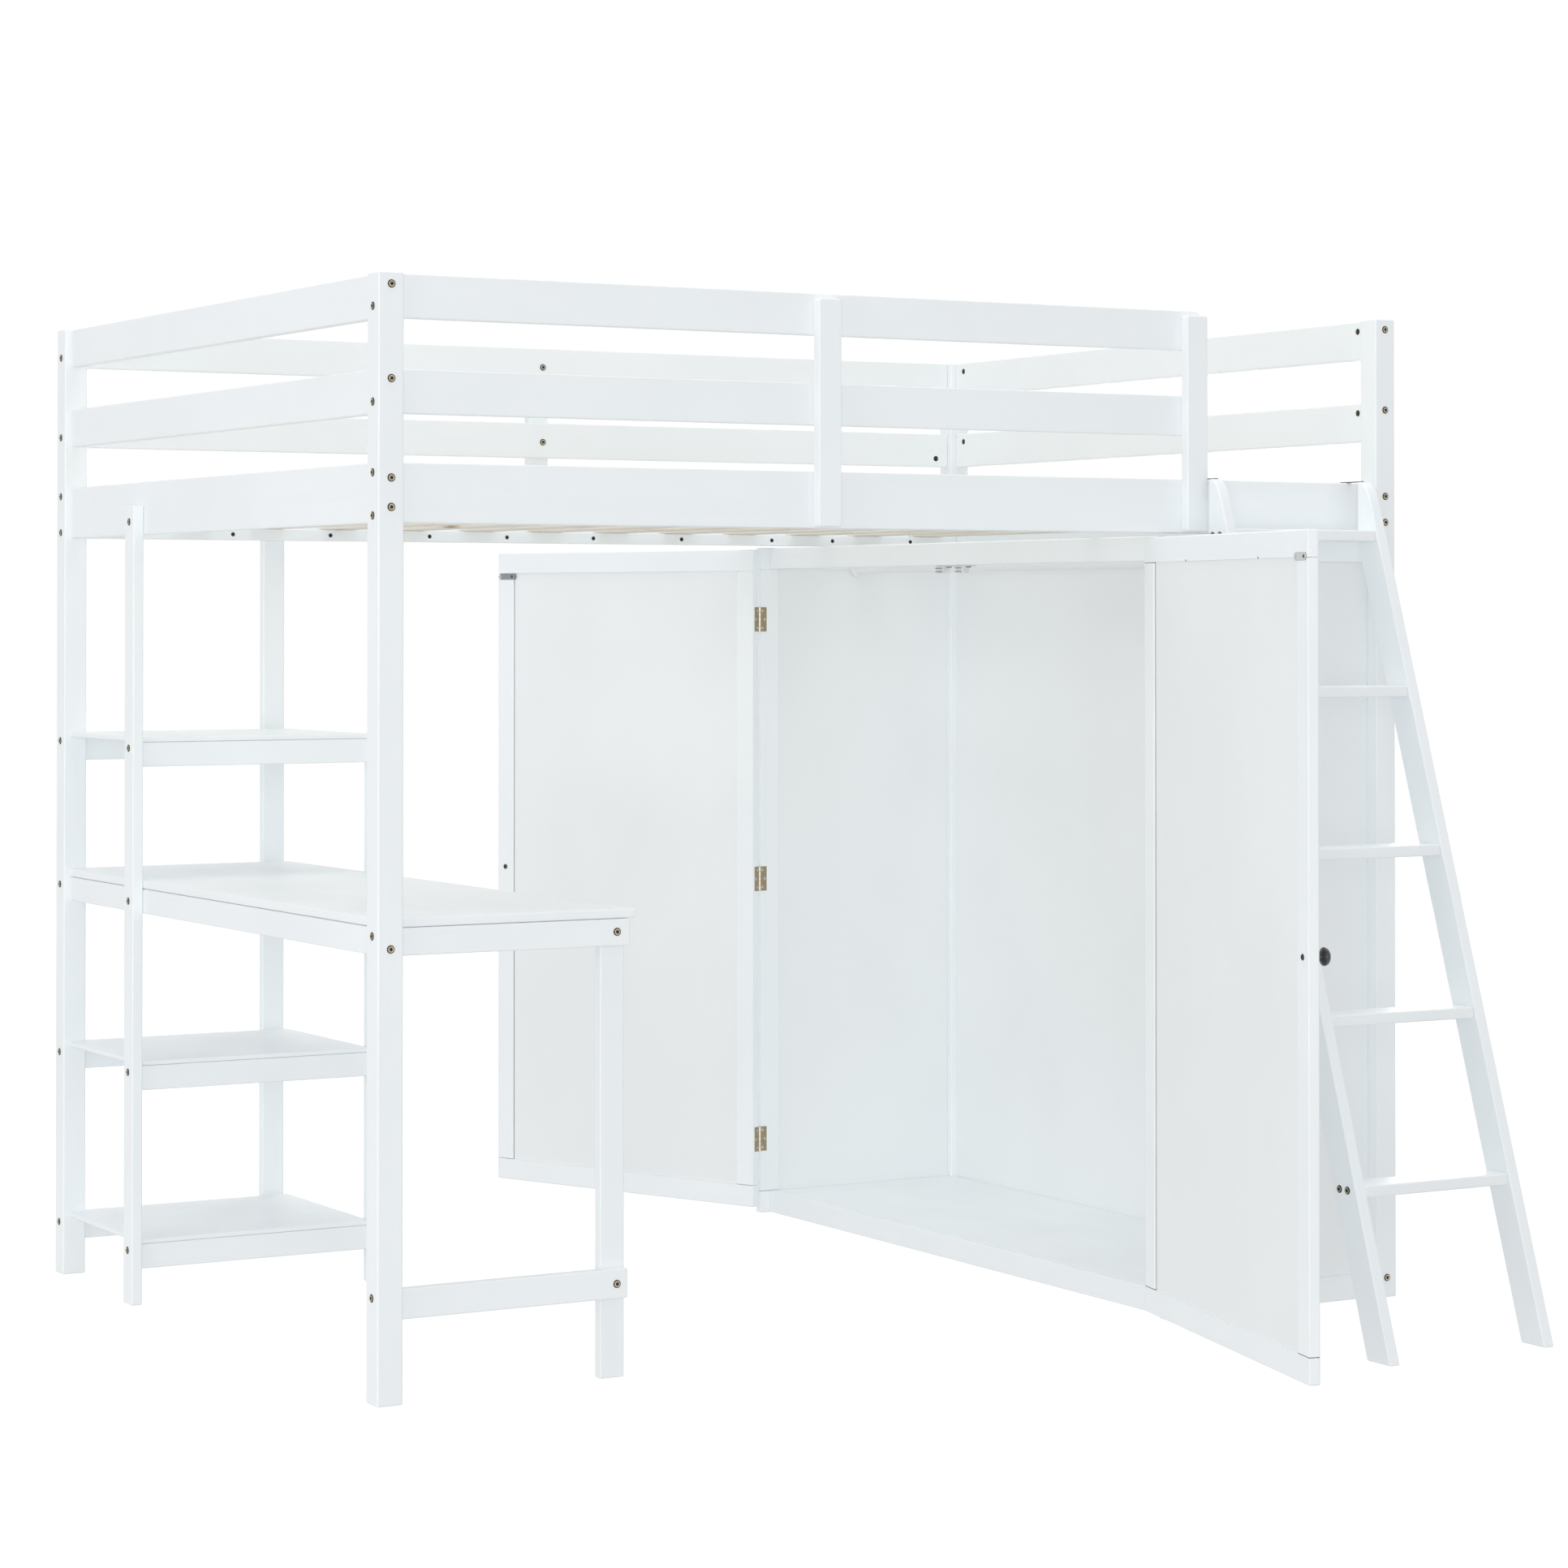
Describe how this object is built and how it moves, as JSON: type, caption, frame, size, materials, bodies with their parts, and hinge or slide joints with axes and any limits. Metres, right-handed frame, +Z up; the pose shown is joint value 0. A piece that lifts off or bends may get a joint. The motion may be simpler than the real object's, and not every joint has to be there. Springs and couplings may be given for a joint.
{
  "type": "loft bed with desk",
  "caption": "High bed on four posts with guard rails, a desk and open shelves under one end, a wardrobe with hinged doors under the other, and a lift-off ladder.",
  "frame": {"origin": "on the floor, in the middle of the rectangle that the bed covers with its doors and ladder as they stand", "axes": "+Z up, +X from the desk end to the wardrobe end, +Y from the ladder side to the back side"},
  "size_m": [2.0076, 2.711, 1.7577],
  "materials": {
    "white_paint": "satin white paint over solid wood and thin board, faint grain",
    "bare_pine": "raw planed pine, unpainted",
    "rod_enamel": "white enamelled steel tube, semi-gloss",
    "knob_black": "black, semi-gloss",
    "bolt_bronze": "antique bronze plating on bolt heads, dark hex socket",
    "hinge_nickel": "nickel plating gone warm grey, brushed",
    "zinc_plate": "bright zinc plating",
    "black_screw": "black oxide steel",
    "catch_plastic": "white moulded plastic",
    "strap_webbing": "woven white webbing"
  },
  "bodies": {
    "frame": {"post_front_left": "white_paint", "post_back_left": "white_paint", "post_front_right": "white_paint", "post_back_right": "white_paint", "left_end_rail_top": "white_paint", "left_end_rail_middle": "white_paint", "left_end_rail_bottom": "white_paint", "right_end_rail_top": "white_paint", "right_end_rail_middle": "white_paint", "right_end_rail_bottom": "white_paint", "front_guard_rail_top": "white_paint", "front_guard_rail_middle": "white_paint", "back_guard_rail_top": "white_paint", "back_guard_rail_middle": "white_paint", "front_side_rail": "white_paint", "back_side_rail": "white_paint", "guard_board_front_middle": "white_paint", "guard_board_front_end": "white_paint", "guard_board_back": "white_paint", "slat_ledger_front": "white_paint", "slat_ledger_back": "white_paint", "slat_roll": "bare_pine", "desk_top": "white_paint", "desk_apron_left": "white_paint", "desk_apron_front": "white_paint", "desk_apron_right": "white_paint", "desk_apron_back": "white_paint", "desk_leg": "white_paint", "desk_stretcher": "white_paint", "shelf_post_outer": "white_paint", "shelf_post_inner": "white_paint", "shelf_post_back": "white_paint", "shelf_board_lower": "white_paint", "shelf_apron_front_lower": "white_paint", "shelf_apron_back_lower": "white_paint", "shelf_board_middle": "white_paint", "shelf_apron_front_middle": "white_paint", "shelf_apron_back_middle": "white_paint", "shelf_board_upper": "white_paint", "shelf_apron_front_upper": "white_paint", "shelf_apron_back_upper": "white_paint", "wardrobe_side_front": "white_paint", "wardrobe_side_back": "white_paint", "wardrobe_end_panel": "white_paint", "wardrobe_header": "white_paint", "wardrobe_plinth": "white_paint", "wardrobe_floor": "white_paint", "clothes_rod": "rod_enamel"},
    "front_door": {"door_front": "white_paint", "door_knob_front": "knob_black"},
    "back_door": {"door_back": "white_paint", "door_knob_back": "knob_black"},
    "ladder": {"ladder_stile_left": "white_paint", "ladder_stile_right": "white_paint", "ladder_tread_1": "white_paint", "ladder_tread_2": "white_paint", "ladder_tread_3": "white_paint", "ladder_tread_4": "white_paint", "ladder_tread_5": "white_paint"}
  },
  "joints": [
    {"name": "front_door_hinge", "type": "hinge", "parent": "frame", "child": "front_door", "pos_m": [0.501, -0.68051, 0.68485], "axis": [0, 0, 1], "range_deg": [-166.2, 13.8]},
    {"name": "back_door_hinge", "type": "hinge", "parent": "frame", "child": "back_door", "pos_m": [0.501, 0.71349, 0.68485], "axis": [0, 0, 1], "range_deg": [-22.5, 157.5]},
    {"name": "ladder_lift", "type": "slide", "parent": "frame", "child": "ladder", "axis": [0, 0, 1], "range_m": [0, 0.08]}
  ]
}
